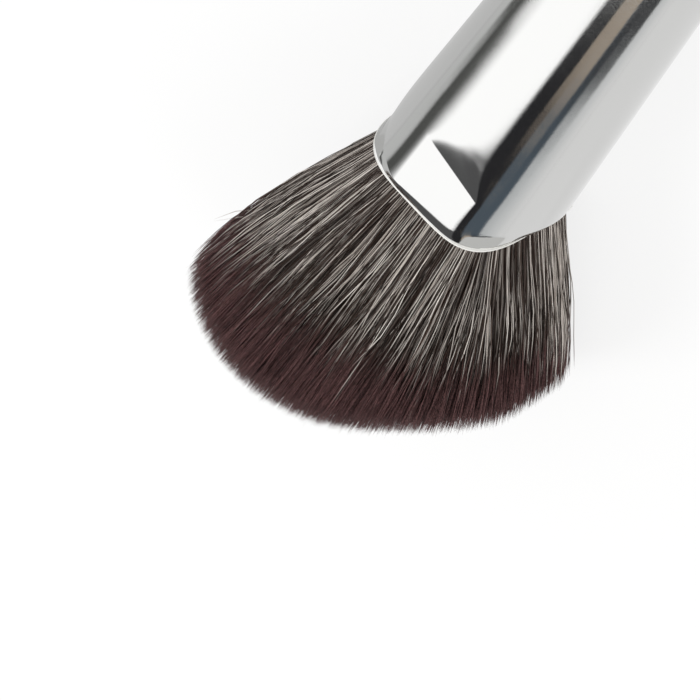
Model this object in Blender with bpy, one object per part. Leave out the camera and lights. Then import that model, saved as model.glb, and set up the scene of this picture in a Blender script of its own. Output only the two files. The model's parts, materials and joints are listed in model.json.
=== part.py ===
"""Angled blush brush: a slanted, flared tuft in a pinched metal ferrule on a turned wooden handle.

Build frame: +X runs from the ferrule's mouth to the handle's butt, +Y is the side with the
longer hair and +Z is up from one broad side. The mouth's centre is the origin. The last step
lays the brush on its broad side and moves its box's bottom centre to the origin.
All sizes below are millimetres.
"""

import math
import random

import bmesh
import bpy
from mathutils import Matrix, Vector
from mathutils.geometry import delaunay_2d_cdt

# Ferrule: a tapering tube whose front end is pinched from round to a soft rectangle, with a flat
# pressed into each broad face and the edge rolled in at the mouth.
FERRULE_LENGTH = 46.0
SHOULDER_RADIUS = 9.42
FERRULE_TAIL_RADIUS = 7.6
FERRULE_WALL = 0.5
PINCH_LENGTH = 9.0
MOUTH_EASE = 0.13
MOUTH_HALF_WIDTH = 8.44
MOUTH_HALF_DEPTH = 7.72
MOUTH_SQUARENESS = 5.0
LIP_CURVE = 4.26
LIP_CURL = 0.37
LIP_LENGTH = 1.5
PANEL_LENGTH = 8.56
PANEL_DEPTH = 0.73
PANEL_TWIST = -6.1
PANEL_EDGE = 0.15
CREASE_SLANT = 0.247
RAMP_SLOPE = 0.151
RAMP_EDGE = 0.3
RIM_SLANT = 0.095
RIM_BOW = 2.0
RIM_BEVEL = 0.16
CRIMP_DEPTH = 0.2
CRIMP_WIDTH = 1.0
CRIMP_SPACING = 1.7
CRIMP_INSET = 1.4

# Handle: turned wood with a cylindrical tenon inside the ferrule.
HANDLE_BODY_LENGTH = 101.0
HANDLE_JOINT_RADIUS = 7.45
HANDLE_SWELL_RADIUS = 7.95
HANDLE_SWELL_AT = 0.14
HANDLE_TAIL_RADIUS = 3.7
BUTT_ROUND = 1.6
TENON_RADIUS = 6.2
TENON_LENGTH = 24.0
TENON_CHAMFER = 0.8

# Inside the ferrule, behind the mouth.
ROOT_DEPTH = 4.6
ROOT_SLICE_LENGTH = 2.0
BINDING_THICKNESS = 0.5
BINDING_TURNS = 3
AIR_SPACE = 2.1
FIT_GAP = 0.3

# Tuft: tapered strands, longest a little off the middle, shortest on the -Y side.
STRAND_COUNT = 400
STRAND_RADIUS = 0.25
STRAND_SWELL = 1.6
TUFT_SPREAD = 18.4
TUFT_LEAN = -1.4
TUFT_HALF_DEPTH = 10.0
TUFT_LENGTH = 32.5
TUFT_SLANT = 9.5
TUFT_CROWN = 10.0
TUFT_DOME = 3.5
TUFT_BOW = 0.62
STRAND_MIDDLE = 0.6
LENGTH_VARIATION = 0.5

SIDES = 96
HANDLE_SIDES = 56
MM = 0.001


def clearScene():
    for thing in list(bpy.data.objects):
        bpy.data.objects.remove(thing, do_unlink=True)


def makeMaterial(name, colour, metallic, roughness):
    material = bpy.data.materials.new(name)
    material.use_nodes = True
    shader = material.node_tree.nodes["Principled BSDF"]
    shader.inputs["Base Color"].default_value = (*colour, 1.0)
    shader.inputs["Metallic"].default_value = metallic
    shader.inputs["Roughness"].default_value = roughness
    return material


def finishObject(build, name, material, smoothAngle=35.0):
    """Turns a closed bmesh in millimetres into an object with its faces out and shaded smooth."""
    bmesh.ops.scale(build, vec=(MM, MM, MM), verts=build.verts)
    bmesh.ops.recalc_face_normals(build, faces=build.faces)
    mesh = bpy.data.meshes.new(name)
    build.to_mesh(mesh)
    build.free()
    mesh.shade_smooth()
    mesh.set_sharp_from_angle(angle=math.radians(smoothAngle))
    mesh.materials.append(material)
    thing = bpy.data.objects.new(name, mesh)
    bpy.context.scene.collection.objects.link(thing)
    return thing


def chain(build, points, closed):
    """Vertices along these points, and the edges that join them."""
    verts = [build.verts.new(p) for p in points]
    edges = [build.edges.new(pair) for pair in zip(verts, verts[1:])]
    if closed:
        edges.append(build.edges.new((verts[-1], verts[0])))
    return verts, edges


def fillEnds(build):
    """Closes what is still open with one flat face for each rim."""
    rims = [edge for edge in build.edges if edge.is_boundary]
    if rims:
        bmesh.ops.holes_fill(build, edges=rims, sides=0)


def turnedObject(name, profile, sides, material, closed=False):
    """A profile of (x, radius) pairs turned round the X axis, solid unless it is closed."""
    build = bmesh.new()
    verts, edges = chain(build, [(x, radius, 0.0) for x, radius in profile], closed)
    bmesh.ops.spin(
        build,
        geom=verts + edges,
        cent=(0.0, 0.0, 0.0),
        axis=(1.0, 0.0, 0.0),
        angle=2.0 * math.pi,
        steps=sides,
        use_merge=True,
    )
    fillEnds(build)
    return finishObject(build, name, material)


def loftedObject(name, rings, material, closed=False):
    """A skin of quads from ring to ring, and back to the first ring where it is closed."""
    build = bmesh.new()
    loops = [chain(build, ring, True)[0] for ring in rings]
    pairs = list(zip(loops, loops[1:]))
    if closed:
        pairs.append((loops[-1], loops[0]))
    for first, second in pairs:
        for i, start in enumerate(first):
            j = (i + 1) % len(first)
            build.faces.new((start, first[j], second[j], second[i]))
    fillEnds(build)
    return finishObject(build, name, material)


def squircle(angle, halfWidth, halfDepth, squareness):
    """Distance from the centre to a superellipse along this angle."""
    across = abs(math.cos(angle) / halfWidth) ** squareness
    along = abs(math.sin(angle) / halfDepth) ** squareness
    return (across + along) ** (-1.0 / squareness)


def angles(count):
    return [2.0 * math.pi * i / count for i in range(count)]


# Ferrule shape, shared by the pieces inside it.

TAPER = (SHOULDER_RADIUS - FERRULE_TAIL_RADIUS) / (FERRULE_LENGTH - PINCH_LENGTH)


def tubeRadius(x):
    """Outer radius of the round tube, whose taper eases off ahead of the shoulder."""
    ahead = PINCH_LENGTH - x
    ease = MOUTH_EASE * (max(0.0, ahead) / PINCH_LENGTH) ** 2
    return SHOULDER_RADIUS + TAPER * ahead - ease


def softMinimum(first, second, soft):
    return 0.5 * (first + second - math.sqrt((first - second) ** 2 + soft * soft))


def panelRadius(angle, height):
    """Distance along this angle to two flats that lie at this height from the axis."""
    twist = math.radians(PANEL_TWIST)
    side = 1.0 if math.sin(angle) >= 0.0 else -1.0
    facing = side * (math.sin(angle) * math.cos(twist) + math.cos(angle) * math.sin(twist))
    return height / max(facing, 0.001)


def mouthRadius(angle):
    return squircle(angle, MOUTH_HALF_WIDTH, MOUTH_HALF_DEPTH, MOUTH_SQUARENESS)


def rimPosition(angle):
    """Where the mouth's edge sits along X: it falls back to the sides, most at the short hair."""
    y = mouthRadius(angle) * math.cos(angle)
    return RIM_BOW * (abs(y) / MOUTH_HALF_WIDTH) ** 4 - RIM_SLANT * y


def creasePosition(angle):
    """Where the pressed flats begin along X, on a line that slants a little across the tube."""
    return PANEL_LENGTH + CREASE_SLANT * mouthRadius(angle) * math.cos(angle)


def ramped(angle, x):
    """Outer radius behind the crease, where a short ramp rises from the flat to the round tube."""
    behind = x - creasePosition(angle)
    height = tubeRadius(PANEL_LENGTH) - PANEL_DEPTH + RAMP_SLOPE * behind
    return softMinimum(tubeRadius(x), panelRadius(angle, height), RAMP_EDGE)


def pinched(angle, x):
    """Outer radius between the rim and the crease: flats, round sides and the rolled edge."""
    start = rimPosition(angle)
    crease = creasePosition(angle)
    share = max(0.0, (x - start) / (crease - start))
    lip = mouthRadius(angle) + LIP_CURL
    side = lip + (tubeRadius(x) - lip) * (1.0 - (1.0 - share) ** LIP_CURVE)
    height = tubeRadius(x * PANEL_LENGTH / crease) - PANEL_DEPTH
    curl = max(0.0, 1.0 - (x - start) / LIP_LENGTH)
    soft = PANEL_EDGE + (RAMP_EDGE - PANEL_EDGE) * share
    return softMinimum(side, panelRadius(angle, height), soft) - LIP_CURL * curl * curl


def outerRadius(angle, x):
    return pinched(angle, x) if x < creasePosition(angle) else ramped(angle, x)


def pinchedRing(share, inset, forward=0.0):
    """A ring a share of the way from the rim to the crease."""
    ring = []
    for a in angles(SIDES):
        start = rimPosition(a)
        x = start + (creasePosition(a) - start) * share
        radius = outerRadius(a, x) - inset
        ring.append((x + forward, radius * math.cos(a), radius * math.sin(a)))
    return ring


def rampedRing(behind, inset):
    """A ring this far behind the crease."""
    ring = []
    for a in angles(SIDES):
        x = creasePosition(a) + behind
        radius = outerRadius(a, x) - inset
        ring.append((x, radius * math.cos(a), radius * math.sin(a)))
    return ring


def roundRing(x, radius):
    return [(x, radius * math.cos(a), radius * math.sin(a)) for a in angles(SIDES)]


def crimpProfile():
    """Two shallow pressed rings near the tail, as (x, depth below the tube)."""
    profile = []
    last = FERRULE_LENGTH - CRIMP_INSET
    for centre in (last - CRIMP_SPACING, last):
        for step in range(5):
            turn = math.pi * (step / 4.0 - 0.5)
            x = centre + CRIMP_WIDTH * 0.5 * math.sin(turn)
            profile.append((x, CRIMP_DEPTH * math.cos(turn) ** 2))
    return profile


RAMP_LENGTH = 1.6 * PANEL_DEPTH / (RAMP_SLOPE + TAPER)


def buildFerrule(material):
    rings = [roundRing(FERRULE_LENGTH, tubeRadius(FERRULE_LENGTH) - RIM_BEVEL)]
    rings.append(roundRing(FERRULE_LENGTH - RIM_BEVEL, tubeRadius(FERRULE_LENGTH - RIM_BEVEL)))
    for x, depth in reversed(crimpProfile()):
        rings.append(roundRing(x, tubeRadius(x) - depth))
    middle = 0.5 * (FERRULE_LENGTH + PINCH_LENGTH)
    rings.append(roundRing(middle, tubeRadius(middle)))
    for share in (1.0, 0.8, 0.62, 0.48, 0.34, 0.22, 0.11, 0.0):
        rings.append(rampedRing(RAMP_LENGTH * share, 0.0))
    for share in (0.85, 0.68, 0.52, 0.4, 0.31, 0.24, 0.18, 0.12, 0.07):
        rings.append(pinchedRing(share, 0.0))
    rings.append(pinchedRing(0.0, 0.0, RIM_BEVEL))
    rings.append(pinchedRing(0.0, RIM_BEVEL * 0.7))
    rings.append(pinchedRing(0.0, FERRULE_WALL - RIM_BEVEL * 0.7))
    rings.append(pinchedRing(0.0, FERRULE_WALL, RIM_BEVEL))
    for share in (0.12, 0.24, 0.4, 0.68, 1.0):
        rings.append(pinchedRing(share, FERRULE_WALL))
    for share in (0.22, 0.48, 0.8, 1.3):
        rings.append(rampedRing(RAMP_LENGTH * share, FERRULE_WALL))
    for x in (TENON_START, FERRULE_LENGTH):
        rings.append(roundRing(x, innerRadius(x)))
    return loftedObject("ferrule", rings, material, closed=True)


def innerRadius(x):
    return tubeRadius(x) - FERRULE_WALL


# Handle and what joins it to the ferrule.

TENON_START = FERRULE_LENGTH - TENON_LENGTH
BODY_START = FERRULE_LENGTH + FIT_GAP
BODY_END = BODY_START + HANDLE_BODY_LENGTH


def bodyRadius(share):
    """Radius of the turned body: a low swell behind the ferrule, then a long taper."""
    if share < HANDLE_SWELL_AT:
        turn = share / HANDLE_SWELL_AT
        ease = math.sin(0.5 * math.pi * turn)
        return HANDLE_JOINT_RADIUS + (HANDLE_SWELL_RADIUS - HANDLE_JOINT_RADIUS) * ease
    turn = (share - HANDLE_SWELL_AT) / (1.0 - HANDLE_SWELL_AT)
    ease = turn * turn * (1.9 - 0.9 * turn)
    return HANDLE_SWELL_RADIUS + (HANDLE_TAIL_RADIUS - HANDLE_SWELL_RADIUS) * ease


def handleProfile():
    profile = [(TENON_START, TENON_RADIUS - TENON_CHAMFER)]
    profile.append((TENON_START + TENON_CHAMFER, TENON_RADIUS))
    profile.append((BODY_START - 0.001, TENON_RADIUS))
    profile.append((BODY_START, HANDLE_JOINT_RADIUS - 0.35))
    profile.append((BODY_START + 0.35, HANDLE_JOINT_RADIUS))
    straight = HANDLE_BODY_LENGTH - BUTT_ROUND
    steps = 20
    for i in range(1, steps + 1):
        share = i / steps
        profile.append((BODY_START + 0.35 + (straight - 0.35) * share, bodyRadius(share)))
    for i in range(1, 6):
        turn = 0.5 * math.pi * i / 5.0
        x = BODY_START + straight + BUTT_ROUND * math.sin(turn)
        profile.append((x, HANDLE_TAIL_RADIUS - BUTT_ROUND * (1.0 - math.cos(turn))))
    return profile


def buildHandle(material):
    return turnedObject("handle", handleProfile(), HANDLE_SIDES, material)


def buildGlueSleeve(material):
    """The glue that fills the taper between the straight tenon and the ferrule."""
    start = TENON_START + TENON_CHAMFER
    end = FERRULE_LENGTH - 2.0 * FIT_GAP
    hole = TENON_RADIUS + FIT_GAP
    profile = [(start, innerRadius(start) - FIT_GAP), (end, innerRadius(end) - FIT_GAP)]
    profile += [(end, hole), (start, hole)]
    return turnedObject("handle_glue_sleeve", profile, HANDLE_SIDES, material, closed=True)


# Behind the mouth: the bonded roots, the thread round them and the plug of resin.

MOUTH_INSIDE_WIDTH = MOUTH_HALF_WIDTH - FERRULE_WALL
MOUTH_INSIDE_DEPTH = MOUTH_HALF_DEPTH - FERRULE_WALL
ROOT_FRONT = ROOT_DEPTH
ROOT_BACK = ROOT_DEPTH + ROOT_SLICE_LENGTH
PLUG_START = ROOT_BACK + FIT_GAP
PLUG_END = TENON_START - AIR_SPACE


def mouthOutline(angle, inset):
    """The mouth's inside, drawn in where the round tube behind it is narrower."""
    width = MOUTH_INSIDE_WIDTH - inset
    depth = MOUTH_INSIDE_DEPTH - inset
    tube = min(outerRadius(angle, x) for x in (ROOT_FRONT, ROOT_BACK)) - FERRULE_WALL - inset
    radius = min(squircle(angle, width, depth, MOUTH_SQUARENESS), tube)
    return radius * math.cos(angle), radius * math.sin(angle)


def outlineRing(x, inset, sides=64):
    return [(x, *mouthOutline(a, inset)) for a in angles(sides)]


def buildBinding(material):
    """Turns of thread round the roots, modelled as one ribbed band."""
    inside = FIT_GAP
    thread = ROOT_SLICE_LENGTH / BINDING_TURNS
    rings = [outlineRing(ROOT_FRONT, inside + BINDING_THICKNESS)]
    for turn in range(BINDING_TURNS):
        for step in range(4):
            share = step / 4.0
            x = ROOT_FRONT + thread * (turn + share)
            lift = BINDING_THICKNESS * (0.6 + 0.4 * math.sin(math.pi * share))
            rings.append(outlineRing(x, inside + BINDING_THICKNESS - lift))
    rings.append(outlineRing(ROOT_BACK, inside + BINDING_THICKNESS * 0.4))
    rings.append(outlineRing(ROOT_BACK, inside + BINDING_THICKNESS))
    return loftedObject("binding_thread", rings, material, closed=True)


def buildPlug(material):
    """Resin that bonds the roots and closes the ferrule, with a slightly sunk back."""
    rings = []
    round_ = PANEL_LENGTH + RAMP_LENGTH
    steps = max(2, round(round_ - PLUG_START))
    places = [PLUG_START + (round_ - PLUG_START) * i / steps for i in range(steps + 1)]
    for x in places + [PLUG_END]:
        ring = []
        for a in angles(SIDES):
            radius = outerRadius(a, x) - FERRULE_WALL - FIT_GAP
            ring.append((x, radius * math.cos(a), radius * math.sin(a)))
        rings.append(ring)
    back = rings[-1]
    for share in (0.8, 0.5):
        rings.append([(PLUG_END - 0.6 * (1.0 - share), p[1] * share, p[2] * share) for p in back])
    return loftedObject("epoxy_plug", rings, material)


# Tuft.

ROOT_INSET = FIT_GAP + BINDING_THICKNESS + FIT_GAP
STRAND_INSET = STRAND_RADIUS + 0.12
ROOT_HALF_WIDTH = MOUTH_INSIDE_WIDTH - ROOT_INSET - STRAND_INSET
ROOT_HALF_DEPTH = MOUTH_INSIDE_DEPTH - ROOT_INSET - STRAND_INSET


def strandLattice():
    """Places for the strands in a unit mouth, u across and v through, in staggered rows."""
    area = 4.0 * ROOT_HALF_WIDTH * ROOT_HALF_DEPTH * 0.93
    pitch = math.sqrt(area / STRAND_COUNT * 2.0 / math.sqrt(3.0))
    rowPitch = pitch * math.sqrt(3.0) / 2.0
    rows = int(2.0 * ROOT_HALF_DEPTH / rowPitch) + 2
    columns = int(2.0 * ROOT_HALF_WIDTH / pitch) + 2
    places = []
    for r in range(-rows, rows + 1):
        for c in range(-columns, columns + 1):
            u = (c + 0.5 * (r % 2)) * pitch / ROOT_HALF_WIDTH
            v = (r + 0.25) * rowPitch / ROOT_HALF_DEPTH
            if abs(u) ** MOUTH_SQUARENESS + abs(v) ** MOUTH_SQUARENESS < 1.0:
                places.append((u, v))
    return places


def tipPosition(u, v, chance):
    """End of the strand that leaves the mouth at (u, v)."""
    length = TUFT_LENGTH + TUFT_SLANT * u - TUFT_CROWN * u * u + TUFT_DOME * (1.0 - v * v)
    length += LENGTH_VARIATION * (chance - 1.0)
    across = TUFT_SPREAD * u + TUFT_LEAN * u * u
    return -length, across, TUFT_HALF_DEPTH * v


def strandPath(u, v, chance):
    """Centres and radii of the strand: bonded root, mouth, middle, and its pointed tip."""
    rootY = u * ROOT_HALF_WIDTH
    rootZ = v * ROOT_HALF_DEPTH
    mouthY = u * (MOUTH_INSIDE_WIDTH - FIT_GAP - STRAND_RADIUS)
    mouthZ = v * (MOUTH_INSIDE_DEPTH - FIT_GAP - STRAND_RADIUS)
    rim = RIM_BOW * abs(u) ** 4 - RIM_SLANT * mouthY
    mouthX = rim + 0.2
    tipX, tipY, tipZ = tipPosition(u, v, chance)
    part = STRAND_MIDDLE
    grown = part ** TUFT_BOW
    middle = (
        mouthX + (tipX - mouthX) * part,
        mouthY + (tipY - mouthY) * grown,
        mouthZ + (tipZ - mouthZ) * grown,
    )
    return (
        ((ROOT_FRONT, rootY, rootZ), STRAND_RADIUS),
        ((mouthX, mouthY, mouthZ), STRAND_RADIUS),
        (middle, STRAND_RADIUS * STRAND_SWELL),
        ((tipX, tipY, tipZ), 0.0),
    )


def triangleRing(centre, radius, turn):
    x, y, z = centre
    ring = []
    for i in range(3):
        a = turn + 2.0 * math.pi * i / 3.0
        ring.append((x, y + radius * math.cos(a), z + radius * math.sin(a)))
    return ring


def buildTuft(material):
    """Strands that grow out of one face of the bonded root slice, all in a single skin."""
    dice = random.Random(11)
    outline = [mouthOutline(a, ROOT_INSET) for a in angles(64)]
    flat = [Vector(p) for p in outline]
    limits = [tuple(range(len(outline)))]
    strands = []
    for u, v in strandLattice():
        path = strandPath(u, v, dice.random())
        turn = dice.random() * 2.0
        strands.append([triangleRing(c, r, turn) for c, r in path[:3]] + [path[3][0]])
        first = len(flat)
        flat += [Vector(p[1:]) for p in strands[-1][0]]
        limits.append((first, first + 1, first + 2))
    edges = []
    for limit in limits:
        edges += [(limit[i], limit[(i + 1) % len(limit)]) for i in range(len(limit))]
    result = delaunay_2d_cdt(flat, edges, [], 0, 1e-9)
    placed, triangles = result[0], result[2]
    whose = {}
    for index, sources in enumerate(result[3]):
        for source in sources:
            whose[source] = index
    bases = {frozenset(whose[i] for i in limit) for limit in limits[1:]}
    points = [(ROOT_FRONT, p.x, p.y) for p in placed]
    faces = [tuple(t) for t in triangles if frozenset(t) not in bases]
    back = len(points)
    points += [(ROOT_BACK, y, z) for y, z in outline]
    count = len(outline)
    for i in range(count):
        j = (i + 1) % count
        faces.append((whose[i], whose[j], back + j, back + i))
    faces.append(tuple(back + i for i in range(count)))
    for number, strand in enumerate(strands):
        below = [whose[i] for i in limits[number + 1]]
        for ring in strand[1:3]:
            above = list(range(len(points), len(points) + 3))
            points += ring
            for i in range(3):
                j = (i + 1) % 3
                faces.append((below[i], below[j], above[j], above[i]))
            below = above
        points.append(strand[3])
        for i in range(3):
            faces.append((below[i], below[(i + 1) % 3], len(points) - 1))
    print(f"tuft: {len(strands)} strands, least gap {leastGap(strands):.2f} mm")
    build = bmesh.new()
    verts = [build.verts.new(p) for p in points]
    for face in faces:
        build.faces.new([verts[i] for i in face])
    return finishObject(build, "hair_tuft", material, 70.0)


def leastGap(strands):
    """Least distance between the skins of two strands, on points along their centres."""
    def centres(strand):
        line = [sum((Vector(p) for p in ring), Vector()) / 3.0 for ring in strand[:3]]
        line.append(Vector(strand[3]))
        sizes = [(Vector(ring[0]) - c).length for ring, c in zip(strand[:3], line)] + [0.0]
        return line, sizes

    least = 100.0
    cells = {}
    for number, strand in enumerate(strands):
        line, sizes = centres(strand)
        for leg in range(3):
            for step in range(12):
                share = step / 12.0
                point = line[leg].lerp(line[leg + 1], share)
                size = sizes[leg] + (sizes[leg + 1] - sizes[leg]) * share
                cell = tuple(int(c // 1.5) for c in point)
                cells.setdefault(cell, []).append((number, point, size))
    for (x, y, z), here in cells.items():
        near = []
        for dx in (0, 1):
            for dy in (-1, 0, 1):
                for dz in (-1, 0, 1):
                    near += cells.get((x + dx, y + dy, z + dz), [])
        for number, point, size in here:
            for other, place, width in near:
                if number != other:
                    least = min(least, (point - place).length - 0.75 * (size + width))
    return least


# Resting pose.


def ferruleDepth(x):
    """How far the ferrule reaches below its axis at this place along X."""
    return max(-outerRadius(a, x) * math.sin(a) for a in angles(SIDES) if math.sin(a) < 0.0)


def restingPitch():
    """Angle of the line that touches the ferrule and the handle from below."""
    slopes = []
    for step in range(1, 40):
        place = FERRULE_LENGTH * step / 40.0
        depth = ferruleDepth(place)
        below = [(depth - radius) / (x - place) for x, radius in handleProfile() if x > BODY_START]
        slopes.append(min(below))
    return math.atan(max(slopes))


def layDown(things):
    """Tips the brush onto its shoulder and handle, then centres it over the origin."""
    turn = Matrix.Rotation(restingPitch(), 4, "Y")
    for thing in things:
        thing.data.transform(turn)
    corners = [v.co for thing in things for v in thing.data.vertices]
    low = [min(c[i] for c in corners) for i in range(3)]
    high = [max(c[i] for c in corners) for i in range(3)]
    shift = Vector((-0.5 * (low[0] + high[0]), -0.5 * (low[1] + high[1]), -low[2]))
    for thing in things:
        thing.data.transform(Matrix.Translation(shift))
        thing.data.update()
    butt = turn @ Vector((BODY_END * MM, 0.0, 0.0)) + shift
    mouth = turn @ Vector((0.0, 0.0, 0.0)) + shift
    axis = turn @ Vector((1.0, 0.0, 0.0))
    print("butt centre (m)", [round(c, 6) for c in butt])
    print("mouth centre (m)", [round(c, 6) for c in mouth])
    print("axis", [round(c, 6) for c in axis], "pitch", round(math.degrees(restingPitch()), 3))
    print("box (mm)", [round((h - l) / MM, 2) for l, h in zip(low, high)])


def main():
    clearScene()
    chrome = makeMaterial("polished_plated_metal", (0.80, 0.80, 0.80), 1.0, 0.08)
    lacquer = makeMaterial("black_lacquered_wood", (0.012, 0.011, 0.011), 0.0, 0.16)
    filament = makeMaterial("tapered_synthetic_filament", (0.075, 0.055, 0.050), 0.0, 0.55)
    resin = makeMaterial("cast_epoxy_resin", (0.55, 0.45, 0.25), 0.0, 0.35)
    thread = makeMaterial("waxed_cotton_thread", (0.62, 0.58, 0.50), 0.0, 0.8)
    glue = makeMaterial("hardened_wood_glue", (0.70, 0.62, 0.42), 0.0, 0.5)
    things = [
        buildHandle(lacquer),
        buildFerrule(chrome),
        buildTuft(filament),
        buildPlug(resin),
        buildBinding(thread),
        buildGlueSleeve(glue),
    ]
    layDown(things)


main()
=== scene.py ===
import json
import math
import bmesh
import bpy
import numpy as np
from mathutils import Matrix, Vector
from mathutils.kdtree import KDTree


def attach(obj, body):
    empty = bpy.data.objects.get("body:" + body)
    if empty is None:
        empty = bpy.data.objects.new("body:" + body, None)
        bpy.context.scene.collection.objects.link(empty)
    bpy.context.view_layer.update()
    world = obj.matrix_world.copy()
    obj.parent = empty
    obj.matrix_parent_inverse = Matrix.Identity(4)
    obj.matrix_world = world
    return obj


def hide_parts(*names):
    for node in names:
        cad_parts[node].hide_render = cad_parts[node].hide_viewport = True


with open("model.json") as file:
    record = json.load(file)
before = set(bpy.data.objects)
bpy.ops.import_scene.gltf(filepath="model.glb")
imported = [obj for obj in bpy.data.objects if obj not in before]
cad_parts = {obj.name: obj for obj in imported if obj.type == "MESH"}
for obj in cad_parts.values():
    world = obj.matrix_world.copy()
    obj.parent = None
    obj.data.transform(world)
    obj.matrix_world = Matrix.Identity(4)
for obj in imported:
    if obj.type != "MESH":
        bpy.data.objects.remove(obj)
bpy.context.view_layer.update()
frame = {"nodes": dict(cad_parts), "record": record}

print("frame loaded:", ", ".join(sorted(frame["nodes"])))

# Everything is modelled lying along X, in millimetres from the middle of the ferrule's mouth:
# +X to the butt, +Y to the long hair, +Z up. layDown takes it to its resting place, in metres.
mm = 0.001
brushLength = 147.3  # mouth to butt
butt = frame["record"]["mounts"][0]
brushAxis = Vector(butt["axis"]).normalized()
mouthPlace = Vector(butt["pos_m"]) - brushAxis * brushLength * mm
restingPitch = math.atan2(-brushAxis.z, brushAxis.x)
layDown = (
    Matrix.Translation(mouthPlace) @ Matrix.Rotation(restingPitch, 4, "Y") @ Matrix.Scale(mm, 4)
)


# sRGB hex to linear RGBA
def toLinear(hexColour):
    shades = [int(hexColour[i:i + 2], 16) / 255.0 for i in (1, 3, 5)]
    linear = [s / 12.92 if s <= 0.04045 else ((s + 0.055) / 1.055) ** 2.4 for s in shades]
    return (*linear, 1.0)


# inputs are keyed by the socket's name or number
def addNode(tree, kind, inputs=None, **settings):
    node = tree.nodes.new(kind)
    for name, value in settings.items():
        setattr(node, name, value)
    for socket, value in (inputs or {}).items():
        if isinstance(value, bpy.types.NodeSocket):
            tree.links.new(value, node.inputs[socket])
        else:
            node.inputs[socket].default_value = value
    return node


def newMaterial(name):
    material = bpy.data.materials.new(name)
    material.use_nodes = True
    tree = material.node_tree
    return material, tree, tree.nodes["Principled BSDF"]


def clearSelection():
    if bpy.context.object and bpy.context.object.mode != "OBJECT":
        bpy.ops.object.mode_set(mode="OBJECT")
    bpy.ops.object.select_all(action="DESELECT")


cameraValues = {
    "place": (239.301, -71.907, 231.441),  # millimetres from the mouth, in the brush's own frame
    "lens": 180.265,
    "sensor": 36.0,
    "clip": (0.01, 20.0),  # metres
    "toRight": (0.407341, -0.626419, -0.664584),
    "toTop": (0.530857, 0.754537, -0.385830),
}
lens = bpy.data.cameras.new("photoCamera")
lens.lens = cameraValues["lens"]
lens.sensor_width = cameraValues["sensor"]
lens.clip_start, lens.clip_end = cameraValues["clip"]
camera = bpy.data.objects.new("photoCamera", lens)
bpy.context.scene.collection.objects.link(camera)
bpy.context.scene.camera = camera
right = Vector(cameraValues["toRight"]).normalized()
top = Vector(cameraValues["toTop"]).normalized()
turn = Matrix((right, top, right.cross(top))).transposed().to_4x4()
tipped = Matrix.Rotation(restingPitch, 4, "Y") @ turn
camera.matrix_world = Matrix.Translation(layDown @ Vector(cameraValues["place"])) @ tipped
print("camera set")

scene = bpy.context.scene
scene.view_settings.view_transform = "Standard"

roomValues = {
    "fill": 0.62,  # what diffuse surfaces get from all round
    "softTop": 1.62,  # what metal sees overhead
    "wall": 1.0,  # and level with it
    "topStarts": 0.1,  # sines of the heights between which one turns into the other
    "topFull": 0.4,
    "floorSize": 8.0,  # metres
    "paper": "#FBFBFA",
    "paperRoughness": 0.9,
    "floorShare": 0.8,  # how much of the paper's look is its own white
    "mirrorShare": 0.85,  # and in reflections
    "paintedReflectionShade": 0.66,  # painted reflection: the paper glows darker to the left, seen in reflections only, as if a grey card lay there
    "paintedReflectionStarts": -0.004,
    "paintedReflectionFull": 0.012,
}


# A plane through the brush's long axis, turned by the given degrees from straight up
# towards the short hair.
def alongAxis(degrees):
    turned = math.radians(degrees)
    return (0.0, -math.cos(turned), -math.sin(turned))


def flipped(normal):
    return tuple(-part for part in normal)


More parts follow.
